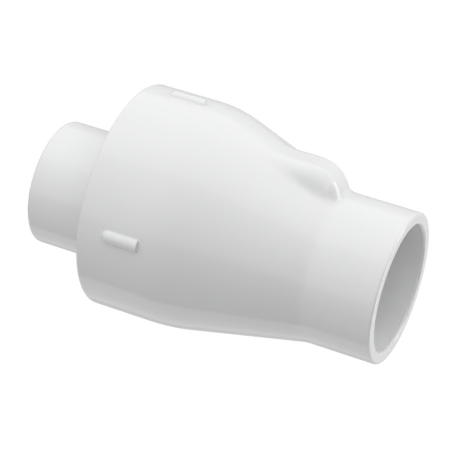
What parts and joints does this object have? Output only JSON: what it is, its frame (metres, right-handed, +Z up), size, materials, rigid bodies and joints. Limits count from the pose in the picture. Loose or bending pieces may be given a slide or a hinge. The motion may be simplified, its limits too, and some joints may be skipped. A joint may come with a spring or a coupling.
{
  "type": "swing check valve",
  "caption": "Gravity swing check valve in white PVC for pipe: drum-shaped body with an inlet socket, a glued-in outlet spigot, a hinge pocket in the roof and a clapper that opens with the flow.",
  "frame": {"origin": "on the pipe axis in the plane of the drum's rim, where the outlet spigot leaves the drum", "axes": "+X along the pipe axis, out of the inlet socket's mouth (against the flow); +Z up, towards the hinge pocket; +Y completes the right-handed frame"},
  "size_m": [0.1773, 0.1124, 0.1124],
  "materials": {
    "body_pvc": "moulded gloss",
    "tailpiece_pvc": "moulded gloss",
    "carrier_pvc": "moulded satin",
    "pin_steel": "ground",
    "washer_acetal": "satin",
    "clapper_pvc": "moulded satin",
    "seal_epdm": "moulded matt",
    "retainer_steel": "brushed",
    "weight_steel": "turned",
    "bolt_steel": "cold formed",
    "head_washer_epdm": "moulded matt",
    "washer_steel": "stamped",
    "nut_steel": "cold formed"
  },
  "bodies": {
    "valve_body": {"body_shell": "body_pvc", "outlet_tailpiece": "tailpiece_pvc", "hinge_carrier": "carrier_pvc", "hinge_pin": "pin_steel", "thrust_washer_left": "washer_acetal", "thrust_washer_right": "washer_acetal"},
    "clapper": {"clapper_plate": "clapper_pvc", "seat_seal": "seal_epdm", "seal_retainer": "retainer_steel", "clapper_weight": "weight_steel", "clapper_bolt": "bolt_steel", "head_washer": "head_washer_epdm", "flat_washer": "washer_steel", "lock_washer": "washer_steel", "lock_nut": "nut_steel"}
  },
  "joints": [
    {"name": "clapper_swing", "type": "hinge", "parent": "valve_body", "child": "clapper", "pos_m": [0.0905, 0, 0.038], "axis": [0, 1, 0], "range_deg": [0, 70]}
  ]
}
